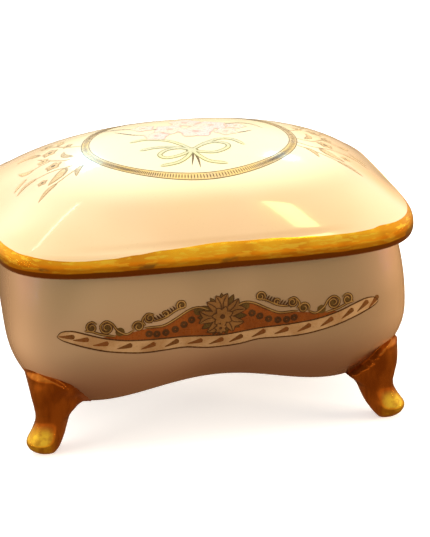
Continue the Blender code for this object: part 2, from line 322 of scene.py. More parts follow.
# %% transfer inks
def ink(name, colour, deeper, roughness=0.22, metallic=0.0):
    made = Finish(name, Specular_IOR_Level=0.25, Specular_Tint=WARM_SHINE, Coat_Roughness=0.06)
    mottle = made.noise(900, 2.0, seed=1.0)
    broad = made.noise(110, 2.0, seed=6.0).ramp(0.35, 0.65)
    tone = made.mix(broad, colour, deeper)
    tone = made.mix(mottle.ramp(0.55, 0.75) * 0.3, tone, tuple(c * 0.6 for c in deeper))
    return made.set(Base_Color=tone, Roughness=roughness + mottle * 0.12, Metallic=metallic,
                    Coat_Weight=0.08 + broad * 0.1, Normal=made.bump(mottle, 0.00003, 0.5))


# The inks of the front transfer, umber_ink to line_gold, are their print colours darkened by painted shade,
# to match the shade that the front of the bowl stands in.
umber_ink = ink("umber_ink", (0.070, 0.030, 0.010), (0.045, 0.018, 0.006))
rust_ink = ink("rust_ink", (0.21, 0.055, 0.009), (0.155, 0.040, 0.007))
ribbon_ink = ink("ribbon_ink", (0.40, 0.245, 0.115), (0.31, 0.17, 0.070))
drop_ink = ink("drop_ink", (0.115, 0.045, 0.012), (0.15, 0.05, 0.012))
petal_ink = ink("petal_ink", (0.205, 0.095, 0.028), (0.14, 0.062, 0.017))
olive_ink = ink("olive_ink", (0.095, 0.052, 0.012), (0.065, 0.036, 0.009))
line_gold = ink("line_gold", (0.38, 0.22, 0.065), (0.24, 0.13, 0.035), 0.28, 0.25)
lid_umber = ink("lid_umber", (0.15, 0.10, 0.040), (0.11, 0.07, 0.030))
lid_olive = ink("lid_olive", (0.27, 0.25, 0.085), (0.21, 0.20, 0.08))
lid_green = ink("lid_green", (0.66, 0.64, 0.34), (0.58, 0.58, 0.37))
lid_rose = ink("lid_rose", (0.64, 0.43, 0.31), (0.58, 0.40, 0.34))
lid_blossom = ink("lid_blossom", (0.82, 0.61, 0.46), (0.76, 0.58, 0.52))
lid_bronze = ink("lid_bronze", (0.36, 0.25, 0.115), (0.28, 0.185, 0.085), 0.24, 0.1)
lid_gold = ink("lid_gold", (0.60, 0.44, 0.22), (0.46, 0.33, 0.16), 0.22, 0.1)
band_gold = ink("band_gold", (0.80, 0.59, 0.22), (0.66, 0.50, 0.26), 0.2, 0.2)
print("inks ready")

# %% [markdown]
# Every level of the box is a superellipse: an ellipse whose exponent squares it off. One function
# gives a point of such a ring, and the wall, the lid and the transfers all stand on it. The points
# crowd a little towards the corners, where the ring turns fastest.

# %% rings and the wall
CORNER_CROWDING = 0.10


def ring_point(turn, half_width, half_depth, squareness):
    """Point at share turn of the way round a superellipse ring."""
    angle = 2 * math.pi * turn
    angle += CORNER_CROWDING * math.sin(4 * angle)
    across, along = math.cos(angle), math.sin(angle)
    reach = (abs(across) ** squareness + abs(along) ** squareness) ** (-1 / squareness)
    return half_width * across * reach, half_depth * along * reach


def wall_inset(share):
    """Inset of the wall, share being 0 at the hem and 1 at the rim."""
    if share < BULGE_SHARE:
        return BULGE_INSET + (HEM_INSET - BULGE_INSET) * ((BULGE_SHARE - share) / BULGE_SHARE) ** 2
    return BULGE_INSET + (NECK_INSET - BULGE_INSET) * ((share - BULGE_SHARE) / (1 - BULGE_SHARE)) ** 2


def arch(along, half_length):
    return 0.5 * (1 + math.cos(math.pi * min(abs(along) / half_length, 1)))


def hem_height(x, y):
    """Height of the arched hem under a point of the wall."""
    front = arch(x, HALF_WIDTH - HEM_INSET - ARCH_MARGIN)
    side = arch(y, HALF_DEPTH - HEM_INSET - ARCH_MARGIN)
    return HEM_Z + FRONT_ARCH * front * (1 - side) + SIDE_ARCH * side * (1 - front)


def share_at(z):
    return (z - HEM_Z) / (RIM_Z - HEM_Z)


print(f"wall at mid height: inset {wall_inset(0.5):.4f}")

# %% [markdown]
# A fine shell is made from a flat grid: its columns run round the box and its rows along a
# section of the wall. Each row is moved to its ring, the seam and the poles are merged, and the
# normals are turned outwards.

# %% piece helpers
AROUND = 256


def mm(*rows):
    """Points, or rows of sizes, given in millimetres."""
    return [Vector(row) / 1000 for row in rows]


def wrap_grid(columns, rows, place):
    """A flat grid bent into place: place(turn, row) gives a point for turn 0 to 1 and row 0 to rows - 1."""
    bm = bmesh.new()
    bmesh.ops.create_grid(bm, x_segments=columns, y_segments=rows - 1, size=1)
    for vert in bm.verts:
        turn = (vert.co.x + 1) / 2
        row = round((vert.co.y + 1) / 2 * (rows - 1))
        vert.co = Vector(place(turn, row))
    bmesh.ops.remove_doubles(bm, verts=bm.verts, dist=1e-6)
    return bm


def close_shell(bm):
    bmesh.ops.recalc_face_normals(bm, faces=bm.faces)
    return bm


def add_piece(bm, name, body, material, stands_for=(), sharp=50):
    """Turns a bmesh into a finished piece that rides on a body."""
    mesh = bpy.data.meshes.new(name)
    bm.to_mesh(mesh)
    bm.free()
    mesh.shade_smooth()
    mesh.set_sharp_from_angle(angle=math.radians(sharp))
    mesh.materials.append(material)
    piece = bpy.data.objects.new(name, mesh)
    scene.collection.objects.link(piece)
    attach(piece, body)
    if stands_for:
        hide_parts(*stands_for)
    print(f"{name}: {len(mesh.polygons)} faces on {body}")
    return piece


# %% [markdown]
# The bowl is slip cast in one piece: a thin wall of even thickness, a floor raised clear of the
# table and a hem that rises in a shallow arch between the feet. Its section is followed once
# round: under the floor, round the hem, up the belly, over the rounded rim and down the inside.

# %% bowl
SOFT = 0.0012
BOTTOM_Z = FLOOR_Z + FLOOR_RADIUS


def over_hem(lift):
    return lambda x, y: hem_height(x, y) + lift


def up_the_wall(share):
    return lambda x, y: hem_height(x, y) + (RIM_Z - hem_height(x, y)) * share


def bowl_section():
    """Rows of the bowl's section: an inset, and a height that may depend on the place."""
    recess = HEM_INSET + HEM_THICKNESS
    rows = [(HALF_DEPTH, UNDERSIDE_Z), (recess + 0.012, UNDERSIDE_Z), (recess + SOFT, UNDERSIDE_Z),
            (recess, UNDERSIDE_Z - SOFT), (recess, over_hem(SOFT)), (recess - 0.0004, over_hem(0.0003)),
            (recess - 0.0014, hem_height), (HEM_INSET + SOFT, hem_height),
            (HEM_INSET + 0.0003, over_hem(0.0002))]
    for step in range(48):
        share = 0.016 + (0.985 - 0.016) * step / 47
        rows.append((wall_inset(share), up_the_wall(share)))
    inner = NECK_INSET + WALL
    rows += [(NECK_INSET + 0.0002, RIM_Z - 0.0003), (NECK_INSET + 0.0008, RIM_Z), (inner - 0.0008, RIM_Z),
             (inner - 0.0002, RIM_Z - 0.0003)]
    for step in range(13):
        z = RIM_Z - 0.0009 + (BOTTOM_Z - RIM_Z + 0.0009) * step / 12
        rows.append((wall_inset(share_at(z)) + WALL, z))
    corner = wall_inset(share_at(BOTTOM_Z)) + WALL
    for step in range(1, 7):
        turn = math.radians(15 * step)
        rows.append((corner + FLOOR_RADIUS * (1 - math.cos(turn)), BOTTOM_Z - FLOOR_RADIUS * math.sin(turn)))
    rows += [(corner + FLOOR_RADIUS + 0.010, FLOOR_Z), (HALF_DEPTH, FLOOR_Z)]
    return rows


bowl_rows = bowl_section()


def bowl_place(turn, row):
    inset, height = bowl_rows[row]
    if inset >= HALF_DEPTH:
        return 0.0, 0.0, height
    x, y = ring_point(turn, HALF_WIDTH - inset, HALF_DEPTH - inset, BOWL_SQUARENESS)
    return x, y, height(x, y) if callable(height) else height


bowl_mesh = close_shell(wrap_grid(AROUND, len(bowl_rows), bowl_place))
for face in bowl_mesh.faces:
    middle = face.calc_center_median()
    turned_in = Vector((middle.x, middle.y * HALF_WIDTH / HALF_DEPTH, 0)).dot(face.normal) < 0
    if middle.z > FLOOR_Z - 0.0005 and (turned_in or face.normal.z > 0.9 and middle.z < RIM_Z - 0.002):
        face.material_index = 1
bowl = add_piece(bowl_mesh, "porcelain_bowl", "base", shaded_bowl_glaze, ["base_bowl"])
bowl.data.materials.append(inner_glaze)

# %% [markdown]
# The lid is a dome that runs out into a flatter flare and ends in a rolled lip. The dome's height
# is a function of how far out a ring lies, and the roll is a smooth curve through a few points of
# its section. Crown and lip differ in squareness, so the exponent grows on the way out.

# %% the lid's surface
def dome_height(share):
    """Height over the seat, share being 0 at the crown and 1 at the lip."""
    dome = DOME_RISE * (1 - (share / CAP_REACH) ** CAP_POWER)
    flare = FLARE_EDGE + FLARE_RISE * (1 - share)
    return FLARE_BLEND * math.log(math.exp(dome / FLARE_BLEND) + math.exp(flare / FLARE_BLEND))


def ease(value, low, high):
    """0 below low, 1 above high and a smooth turn between."""
    share = min(max((value - low) / (high - low), 0), 1)
    return share * share * (3 - 2 * share)


def curve_at(points, share):
    """Point at a share of a smooth curve through all the points."""
    last = len(points) - 1
    span = min(int(share * last), last - 1)
    t = share * last - span
    before, start = points[max(span - 1, 0)], points[span]
    end, after = points[span + 1], points[min(span + 2, last)]
    return 0.5 * (2 * start + (end - before) * t + (2 * before - 5 * start + 4 * end - after) * t * t
                  + (3 * start - before - 3 * end + after) * t ** 3)


ROLL_SHARE = 1 - LIP_TOP_INSET / HALF_WIDTH
lip_top, lip_edge = dome_height(ROLL_SHARE), dome_height(1.0)
lip_roll = [Vector(p) for p in (
    (LIP_TOP_INSET, lip_top), (0.42 * LIP_TOP_INSET, 1.02 * lip_edge),
    (0.12 * LIP_TOP_INSET, 0.78 * lip_edge), (0.0, 0.48 * lip_edge), (0.0001, 0.17 * lip_edge),
    (0.0008, -0.0004), (0.0024, -0.0011), (0.0042, -0.0008), (0.0057, 0.0))]


def lid_outside(turn, way):
    """Point of the lid's outside. way is 0 at the crown, 1 at the lip's upper border, 2 on the seat."""
    if way <= 1:
        share = way * ROLL_SHARE
        settle = ease(share, 0.93, ROLL_SHARE)
        squareness = 2 + (LID_SQUARENESS - 2) * share ** 3
        squareness += (LID_SQUARENESS - squareness) * settle
        half_depth = HALF_DEPTH * share
        half_depth += (HALF_DEPTH - (1 - share) * HALF_WIDTH - half_depth) * settle
        x, y = ring_point(turn, HALF_WIDTH * share, half_depth, squareness)
        return x, y, SEAT_Z + dome_height(share)
    inset, rise = curve_at(lip_roll, way - 1)
    x, y = ring_point(turn, HALF_WIDTH - inset, HALF_DEPTH - inset, LID_SQUARENESS)
    return x, y, SEAT_Z + rise


print(f"dome {dome_height(0):.4f} high, {dome_height(ROLL_SHARE):.4f} at the lip")

# %% lid
DOME_ROWS, ROLL_ROWS, UNDER_ROWS = 72, 20, 24
SEAT_INNER = 1 - SEAT_INNER_INSET / HALF_WIDTH
HOLLOW_START = 0.97 * SEAT_INNER


def lid_place(turn, row):
    if row < DOME_ROWS:
        return lid_outside(turn, math.sin(math.pi / 2 * row / (DOME_ROWS - 1)))
    row -= DOME_ROWS
    if row < ROLL_ROWS:
        return lid_outside(turn, 1 + (row + 1) / ROLL_ROWS)
    row -= ROLL_ROWS
    if row == 0:
        x, y = ring_point(turn, HALF_WIDTH - SEAT_INNER_INSET, HALF_DEPTH - SEAT_INNER_INSET, LID_SQUARENESS)
        return x, y, SEAT_Z
    share = HOLLOW_START * (1 - (row - 1) / (UNDER_ROWS - 2))
    squareness = 2 + (LID_SQUARENESS - 2) * share ** 3
    x, y = ring_point(turn, HALF_WIDTH * share, HALF_DEPTH * share, squareness)
    return x, y, SEAT_Z + dome_height(share) - LID_WALL


lid_mesh = close_shell(wrap_grid(AROUND, DOME_ROWS + ROLL_ROWS + UNDER_ROWS, lid_place))
add_piece(lid_mesh, "porcelain_lid", "lid", lid_glaze, ["lid_dome"])

# %% [markdown]
# The gold on the lip is a skin painted over the roll. Its upper border was drawn by hand along the
# lid, so it climbs and falls a little and has a slight tremble. The skin is made on the porcelain,
# lifted by a hair along its normals and given a thickness inwards.

# %% skins that lie on a surface
def outwards(bm, direction):
    """Turns every face of an open skin to the outside. direction gives the outside at a point."""
    bm.normal_update()
    wrong = [face for face in bm.faces if face.normal.dot(direction(face.calc_center_median())) < 0]
    bmesh.ops.reverse_faces(bm, faces=wrong)
    bm.normal_update()


def thicken(bm, lift, depth):
    """Lifts a skin off its surface, then gives it a thickness towards the inside."""
    lifted = [(vert, vert.co + vert.normal * lift) for vert in bm.verts]
    for vert, place in lifted:
        vert.co = place
    bmesh.ops.solidify(bm, geom=bm.faces, thickness=depth)
    return close_shell(bm)


# %% gilt lip
SKIN_ROWS = 34
# Share of the way round, and where on the lid's outside the gold begins there.
GILDING_KNOTS = (
    (0.0, 1.0), (0.04, 0.998), (0.10, 1.02), (0.16, 0.99), (0.25, 0.985), (0.34, 1.01), (0.41, 1.05),
    (0.50, 1.01), (0.589, 1.03), (0.617, 1.07), (0.675, 1.15), (0.692, 1.12), (0.706, 1.07), (0.721, 1.0),
    (0.75, 0.985), (0.776, 0.989), (0.797, 0.998), (0.827, 1.02), (0.853, 0.995), (0.886, 1.0), (1.0, 1.0))
# Size, number of waves round the lip and start of each wave of the hand's tremble.
TREMBLES = ((0.30, 7, 0.6), (0.22, 17, 2.0), (0.10, 41, 0.0))


def gilding_border(turn):
    """Where on the lid's outside the gold begins, as a way from crown to seat."""
    last = next(i for i, knot in enumerate(GILDING_KNOTS) if i and turn <= knot[0])
    start, end = GILDING_KNOTS[last - 1], GILDING_KNOTS[last]
    between = start[1] + (end[1] - start[1]) * ease(turn, start[0], end[0])
    tremble = sum(size * math.sin(waves * 2 * math.pi * turn + first) for size, waves, first in TREMBLES)
    return between + 0.0045 * tremble


def skin_place(turn, row):
    border = gilding_border(turn)
    way = border + (2 - border) * (row / (SKIN_ROWS - 1)) ** 1.15
    return lid_outside(turn, way)


skin = wrap_grid(AROUND, SKIN_ROWS, skin_place)
outwards(skin, lambda p: Vector((p.x, p.y * 1.6, (p.z - SEAT_Z - 0.0030) * 60)))
add_piece(thicken(skin, 0.00005, 0.0002), "gilt_lip", "lid", lip_gilding, ["lid_gilt_lip"])

# %% [markdown]
# The locating ring keeps the lid from sliding off the rim. It is a plain hoop with softened lower
# edges, so it is a closed section carried once round.

# %% locating ring
RING_CLEARANCE, RING_THICKNESS, RING_DROP = 0.0008, 0.0025, 0.0045
RING_CORNER, HAIRLINE = 0.0007, 0.0003
ring_outer = NECK_INSET + WALL + RING_CLEARANCE
ring_inner = ring_outer + RING_THICKNESS
ring_section = [(ring_inner, -HAIRLINE)]
for edge, way, steps in ((ring_inner, -1, range(7)), (ring_outer, 1, range(6, -1, -1))):
    for step in steps:
        turn = math.radians(15 * step)
        ring_section.append((edge + way * RING_CORNER * (1 - math.cos(turn)),
                             RING_CORNER * (1 - math.sin(turn)) - RING_DROP))
ring_section += [(ring_outer, -HAIRLINE), (ring_inner, -HAIRLINE)]


def ring_place(turn, row):
    inset, rise = ring_section[row]
    x, y = ring_point(turn, HALF_WIDTH - inset, HALF_DEPTH - inset, BOWL_SQUARENESS)
    return x, y, SEAT_Z + rise


ring_mesh = close_shell(wrap_grid(192, len(ring_section), ring_place))
add_piece(ring_mesh, "locating_ring", "lid", ring_bisque, ["lid_locating_ring"])

# %% [markdown]
# Each foot is a cabriole leg: a small round toe, a slim ankle, and a knee that swells up the corner
# of the bowl and dies into the wall, where the gold ends in a painted border. Its sections are
# taken at many heights. At each height the outline is found by shooting rays from a point inside
# both the leg and the wall, and the leg and the wall are joined by a soft maximum, which leaves a
# hollow fillet instead of a crease. The painter took the gold further across the front on some
# feet than on others, so there is a wide and a narrow border.

# %% the foot's sections
TOE_ANGLE = math.radians(42)
toe_way = Vector((math.cos(TOE_ANGLE), math.sin(TOE_ANGLE)))
toe_side = Vector((-math.sin(TOE_ANGLE), math.cos(TOE_ANGLE)))
corner_reach = 0.5 ** (1 / BOWL_SQUARENESS)
hem_corner = Vector(((HALF_WIDTH - HEM_INSET) * corner_reach, (HALF_DEPTH - HEM_INSET) * corner_reach))

# Height above the table, then the distance outwards from the hem's corner along the toe of the
# section's back, its widest place and its front, and half its width.
LEG_LEVELS = mm(
    (0, 10.8, 11.8, 13.5, 2), (0.5, 10, 12.4, 15.2, 3.4), (1.5, 8.8, 13.4, 17.3, 4.6), (3, 7, 14, 19, 5.5),
    (5.5, 4.4, 14.2, 19.6, 5.7), (8.5, 2.4, 12.2, 17.2, 5.2), (11.5, 0.8, 9.6, 15.4, 5.1),
    (13.5, -1, 7, 15.1, 5.6), (15.2, -3.7, 4.4, 15.2, 6.2), (18.9, -6.9, 2, 15.9, 6.9),
    (22.6, -6.2, 2.8, 16.4, 7.8), (26.2, -3.4, 6.6, 16, 8.6), (29.9, 0.2, 9.6, 15.1, 6.8),
    (33.5, 5.4, 12.2, 14.8, 3))
# Height above the table, then how far the gold reaches round the side of the box (negative) and
# across its front, from the middle of the foot.
WIDE_BORDER = mm(
    (15, -8.8, 7.8), (17, -10.4, 8.8), (19, -11.2, 9.3), (22.5, -11.8, 9.8), (25.5, -12.8, 9.6),
    (27.8, -12.8, 8.4), (29.6, -11.2, 5.8), (30.7, -7.4, 2.6), (31.6, -4, -2))
NARROW_BORDER = mm(
    (15, -7.8, 4.2), (17.5, -9, 4.4), (20, -9.8, 4.6), (22.8, -10.2, 4.9), (25.5, -10, 5.1),
    (27.8, -9.2, 4.9), (29.5, -7.6, 3.6), (30.6, -5.2, 0.6), (31.5, -2.8, -2))


def level_at(levels, z):
    """The sizes at a height, on a smooth curve through the levels."""
    last = len(levels) - 1
    z = min(max(z, levels[0][0]), levels[last][0])
    span = next(i for i in range(last) if z <= levels[i + 1][0])
    start, end = levels[span], levels[span + 1]
    gap = end[0] - start[0]
    t = (z - start[0]) / gap
    before, after = levels[max(span - 1, 0)], levels[min(span + 2, last)]
    slope_in = (end - before) / (end[0] - before[0]) * gap
    slope_out = (after - start) / (after[0] - start[0]) * gap
    return ((2 * t ** 3 - 3 * t * t + 1) * start + (t ** 3 - 2 * t * t + t) * slope_in
            + (3 * t * t - 2 * t ** 3) * end + (t ** 3 - t * t) * slope_out)


def outline_reach(inside, start, way, most=0.03):
    """How far from start along way the outline of inside(point) lies."""
    near, far = 0.0, most
    for _ in range(26):
        middle = (near + far) / 2
        if inside(start + way * middle):
            near = middle
        else:
            far = middle
    return near


print(f"hem's corner at {hem_corner.x:.4f}, {hem_corner.y:.4f}")

# %% the foot's surface
FOOT_COLUMNS, ANKLE_ROWS, KNEE_ROWS = 96, 25, 35
GOLD_LIFT = 0.00006
HIDDEN = 0.0013         # depth of the foot's back inside the wall
FILLET = 0.0050         # softness of the join of leg and wall
FADE = 0.0026           # height over which the top of the knee dies into the wall
INSIDE = 0.0028         # least depth of the rays' start inside the wall
ROOT = 0.0120           # depth from which the ends of the gold are sought


def foot_heights(border):
    """Heights of a foot's sections, from the table to the top of its gold."""
    first, top = HEM_Z + 0.0002, border[-1][0]
    return ([HEM_Z * (step / (ANKLE_ROWS - 1)) ** 1.35 for step in range(ANKLE_ROWS)]
            + [first + (top - first) * step / (KNEE_ROWS - 1) for step in range(KNEE_ROWS)])


def leg_inside(z):
    height, back_reach, widest, front, half = level_at(LEG_LEVELS, z)

    def inside(p):
        along, side = (p - hem_corner).dot(toe_way) - widest, (p - hem_corner).dot(toe_side)
        length = front - widest if along > 0 else widest - back_reach
        return (along / length) ** 2 + (side / half) ** 2 < 1
    return inside


def wall_inside(z):
    inset = wall_inset(max(share_at(z), 0))

    def inside(p):
        across, deep = abs(p.x) / (HALF_WIDTH - inset), abs(p.y) / (HALF_DEPTH - inset)
        return across ** BOWL_SQUARENESS + deep ** BOWL_SQUARENESS < 1
    return inside


def wall_along(z):
    """How far the wall stands out from the hem's corner along the toe."""
    inset = wall_inset(max(share_at(z), 0))
    spot = Vector(((HALF_WIDTH - inset) * corner_reach, (HALF_DEPTH - inset) * corner_reach))
    return (spot - hem_corner).dot(toe_way)


def soft_max(first, second, softness):
    overlap = max(softness - abs(first - second), 0) / softness
    return max(first, second) + overlap * overlap * softness / 4


def foot_row(z, border):
    """Points of the foot's section at a height, for each column once round."""
    inside_leg = leg_inside(z)
    widest = level_at(LEG_LEVELS, z)[2]
    settle = ease(z, 0.0100, 0.0150)
    heart = widest + (min(widest, wall_along(z) - INSIDE) - widest) * settle
    centre = hem_corner + toe_way * heart
    if z < HEM_Z + 0.0001:
        angles = [math.pi * (2 * column / FOOT_COLUMNS - 0.5) for column in range(FOOT_COLUMNS)]
        ways = [toe_way * math.cos(angle) + toe_side * math.sin(angle) for angle in angles]
        return [centre + way * outline_reach(inside_leg, centre, way) for way in ways]
    inside_wall = wall_inside(z)
    tremble = 0.00012 * math.sin(z * 2400) + 0.00009 * math.sin(z * 5100)
    ends = []
    for across in (level_at(border, z)[1] - tremble, level_at(border, z)[2] + tremble):
        root = hem_corner + toe_side * across - toe_way * ROOT
        along = outline_reach(inside_wall, root, toe_way, 0.04) - ROOT
        ends.append(math.atan2(across, along - heart))
    row = []
    for column in range(FOOT_COLUMNS):
        share = column / FOOT_COLUMNS
        front = share <= 0.5
        part = share * 4 - 1 if front else 3 - share * 4
        angle = (ends[0] + ends[1]) / 2 + part * (ends[1] - ends[0]) / 2
        way = toe_way * math.cos(angle) + toe_side * math.sin(angle)
        wall = outline_reach(inside_wall, centre, way)
        if not front:
            row.append(centre + way * max(wall - HIDDEN, 0.0001))
            continue
        leg = outline_reach(inside_leg, centre, way)
        free = ease(1 - abs(part), 0.0, 0.30) * ease(border[-1][0] - z, 0.0, FADE)
        joined = soft_max(wall, leg, FILLET)
        row.append(centre + way * (wall + GOLD_LIFT + (joined - wall) * free))
    return row


def foot_mesh(border):
    heights = foot_heights(border)
    rows = [foot_row(z, border) for z in heights]

    def place(turn, row):
        if row in (0, len(rows) + 1):
            end = 0 if row == 0 else -1
            middle = sum(rows[end], Vector((0, 0))) / FOOT_COLUMNS
            return middle.x, middle.y, heights[end]
        point = rows[row - 1][round(turn * FOOT_COLUMNS) % FOOT_COLUMNS]
        return point.x, point.y, heights[row - 1]
    return wrap_grid(FOOT_COLUMNS, len(rows) + 2, place)


for corner, side_x, side_y, border in (
        ("front_left", -1, -1, WIDE_BORDER), ("front_right", 1, -1, NARROW_BORDER),
        ("rear_left", -1, 1, NARROW_BORDER), ("rear_right", 1, 1, WIDE_BORDER)):
    foot = foot_mesh(border)
    bmesh.ops.scale(foot, vec=(side_x, side_y, 1), verts=foot.verts)
    add_piece(close_shell(foot), corner + "_gilt_foot", "base", foot_gilding,
              [corner + "_foot"], 70)

# %% [markdown]
# The transfers are thin skins of fired ink. Each is drawn on a flat plan, in millimetres, with two
# kinds of mark: a band between two smooth curves, and a stroke along one smooth curve whose width
# swells as a brush or an engraver's tool would make it. The plan is then laid on the porcelain.

# %% marks of a transfer
def even(share):
    return min(1.0, 0.35 + 6 * share, 0.35 + 6 * (1 - share))


def leaf(share):
    return math.sin(math.pi * share ** 0.8) + 0.02


def drop(share):
    return share ** 0.9 * math.sqrt(max(1 - share ** 7, 0)) + 0.05


def lay_grid(bm, columns, rows, surface, place):
    """A grid on a surface. place gives the plan's point for a share along and a share across."""
    for vert in bmesh.ops.create_grid(bm, x_segments=columns, y_segments=rows, size=1)["verts"]:
        vert.co = surface(*place((vert.co.x + 1) / 2, (vert.co.y + 1) / 2))


def lay_band(bm, lower, upper, columns, rows, surface):
    """A band between two curves."""
    lay_grid(bm, columns, rows, surface,
             lambda share, across: curve_at(lower, share).lerp(curve_at(upper, share), across))


def lay_stroke(bm, points, width, surface, shape=even, columns=0, rows=1):
    """A stroke along a curve. width is in millimetres where its shape is 1."""
    def place(share, across):
        ahead = curve_at(points, min(share + 0.01, 1)) - curve_at(points, max(share - 0.01, 0))
        aside = Vector((-ahead.y, ahead.x)).normalized()
        return curve_at(points, share) + aside * (width / 1000 * shape(share) * (across - 0.5))
    lay_grid(bm, columns or 5 * (len(points) - 1), rows, surface, place)


def lay_disc(bm, centre, radius, surface, sides=12):
    """A round dot. centre and radius are in millimetres."""
    for vert in bmesh.ops.create_circle(bm, cap_ends=True, segments=sides, radius=radius / 1000)["verts"]:
        vert.co = surface(centre[0] / 1000 + vert.co.x, centre[1] / 1000 + vert.co.y)


def lay_flower(bm, centre, radius, petals, surface, first=0.0, inner=0.12, fullness=0.62):
    """Petals round a centre. centre and radius are in millimetres."""
    centre = Vector(centre) / 1000
    for index in range(petals):
        angle = first + 2 * math.pi * index / petals
        way = Vector((math.cos(angle), math.sin(angle))) * radius / 1000
        points = [centre + way * inner, centre + way * 0.55, centre + way]
        lay_stroke(bm, points, radius * fullness, surface, leaf, 8, 2)


def curl(centre, radius, start, turns, end_radius=0.3):
    """Points of a volute that winds inwards, in metres from sizes in millimetres and degrees."""
    count = max(4, round(abs(turns) * 8))
    points = []
    for step in range(count + 1):
        share = step / count
        angle = math.radians(start) + 2 * math.pi * turns * share
        reach = radius * (1 - (1 - end_radius) * share)
        points.append((Vector(centre) + Vector((math.cos(angle), math.sin(angle))) * reach) / 1000)
    return points


print("marks: band, stroke, disc, flower, curl")

# %% surfaces to lay transfers on
TRANSFER_TILT = 0.018
TRANSFER_Z = 0.0434
INK_STEP, INK_DEPTH = 0.00003, 0.0001
transfer_side = 1


def on_front(x, rise):
    """Point of the front wall. rise is over the transfer's middle line."""
    x *= transfer_side
    z = TRANSFER_Z + rise + TRANSFER_TILT * x
    hem = HEM_Z + FRONT_ARCH * arch(x, HALF_WIDTH - HEM_INSET - ARCH_MARGIN)
    inset = wall_inset((z - hem) / (RIM_Z - hem))
    across = abs(x) / (HALF_WIDTH - inset)
    return Vector((x, -(HALF_DEPTH - inset) * (1 - across ** BOWL_SQUARENESS) ** (1 / BOWL_SQUARENESS), z))


def on_lid(x, y):
    """Point of the dome over a place seen from above."""
    x *= transfer_side
    inner, outer = 0.0, 1.0
    for _ in range(24):
        share = (inner + outer) / 2
        squareness = 2 + (LID_SQUARENESS - 2) * share ** 3
        reach = (abs(x) / (HALF_WIDTH * share)) ** squareness + (abs(y) / (HALF_DEPTH * share)) ** squareness
        if reach > 1:
            inner = share
        else:
            outer = share
    return Vector((x, y, SEAT_Z + dome_height(outer)))


def both_sides(draw):
    """Draws a mark and its mirror image."""
    global transfer_side
    for transfer_side in (1, -1):
        draw()
    transfer_side = 1


def finish_front(bm, name, material, layer):
    """Lays the marks on the front and, turned half round, on the back."""
    outwards(bm, lambda p: Vector((0, -1, 0)))
    thicken(bm, INK_STEP * layer, INK_DEPTH)
    twin = bmesh.ops.duplicate(bm, geom=bm.verts[:] + bm.edges[:] + bm.faces[:])["geom"]
    bmesh.ops.rotate(bm, cent=(0, 0, 0), matrix=Matrix.Rotation(math.pi, 3, "Z"),
                     verts=[part for part in twin if isinstance(part, bmesh.types.BMVert)])
    add_piece(bm, name, "base", material)


def finish_lid(bm, name, material, layer):
    outwards(bm, lambda p: Vector((0, 0, 1)))
    add_piece(thicken(bm, INK_STEP * layer, INK_DEPTH), name, "lid", material)


print("surfaces: front and lid")

# %% [markdown]
# The front carries a ribbon that hangs in a shallow curve and turns up at both ends, with slanting
# drops printed inside it. The plan is made for the right half and repeated to the left.

# %% ribbon of the front transfer
RIBBON_TOP = ((0, -0.2), (6, 0.2), (13, 0.8), (20, 0.9), (27, 1.1), (34, 1.7), (41, 3.2), (47, 5.2),
              (51.5, 6.5), (55, 6.3), (56.7, 4.7))
RIBBON_FOOT = ((0, -4.9), (6, -4.6), (13, -3.4), (20, -3.6), (27, -3.7), (34, -2.9), (41, -1.5), (47, 0.3),
               (51.5, 1.9), (55, 3.3), (56.7, 4.6))
DROPS = 16
DROP_LEAN = Matrix.Rotation(math.radians(19), 2)


def whole(half):
    """A plan's curve from its mirrored half on the left to its right end."""
    return mm(*[(-x, rise) for x, rise in reversed(half[1:])], *half)


ribbon_top, ribbon_foot = whole(RIBBON_TOP), whole(RIBBON_FOOT)
ribbon = bmesh.new()
lay_band(ribbon, ribbon_foot, ribbon_top, 120, 4, on_front)
finish_front(ribbon, "ribbon_fill", ribbon_ink, 1)

drops = bmesh.new()
for index in range(DROPS):
    share = (index + 1.31) / (DROPS + 1.2)
    middle = (curve_at(ribbon_top, share) + curve_at(ribbon_foot, share)) / 2
    slope = curve_at(ribbon_foot, min(share + 0.02, 1)) - curve_at(ribbon_foot, max(share - 0.02, 0))
    slope.normalize()
    lean = DROP_LEAN @ slope
    line = [middle - lean * 0.0029, middle + slope * 0.0002, middle + lean * 0.0026]
    lay_stroke(drops, line, 2.3, on_front, drop, 8, 2)
finish_front(drops, "ribbon_drops", drop_ink, 2)

# %% rust field and its dots
FIELD_TOP = ((0, 10.6), (6, 10.9), (11.5, 10), (15.5, 7.8), (20, 5.5), (24, 5.3), (27.5, 5), (33, 4.2),
             (38, 3.9), (41.5, 3.5))
FIELD_FOOT = ((0, -0.2), (6, 0.2), (11.5, 0.7), (15.5, 0.8), (20, 0.9), (24, 1), (27.5, 1.1), (33, 1.6),
              (38, 2.5), (41.5, 3.3))
field = bmesh.new()
lay_band(field, whole(FIELD_FOOT), whole(FIELD_TOP), 80, 8, on_front)
finish_front(field, "rust_field", rust_ink, 1)

DOTS = (10.6, 6.6), (13.3, 5.2), (16.4, 3.8), (19.7, 3), (22.8, 2.8), (25.5, 3.2)
dots, dot_eyes = bmesh.new(), bmesh.new()


def draw_dots():
    for spot in DOTS:
        lay_disc(dots, spot, 1.3, on_front)
        lay_disc(dot_eyes, spot, 0.22, on_front, 8)


both_sides(draw_dots)
finish_front(dots, "field_dots", umber_ink, 2)
finish_front(dot_eyes, "field_dot_eyes", rust_ink, 3)

# %% [markdown]
# Scrolls run along the top of the field: a wavy line with volutes that wind inwards, and a comb of
# fine strokes between two of them. Each gold line lies on a wider dark one, which leaves a dark
# outline, as the printed transfer has.

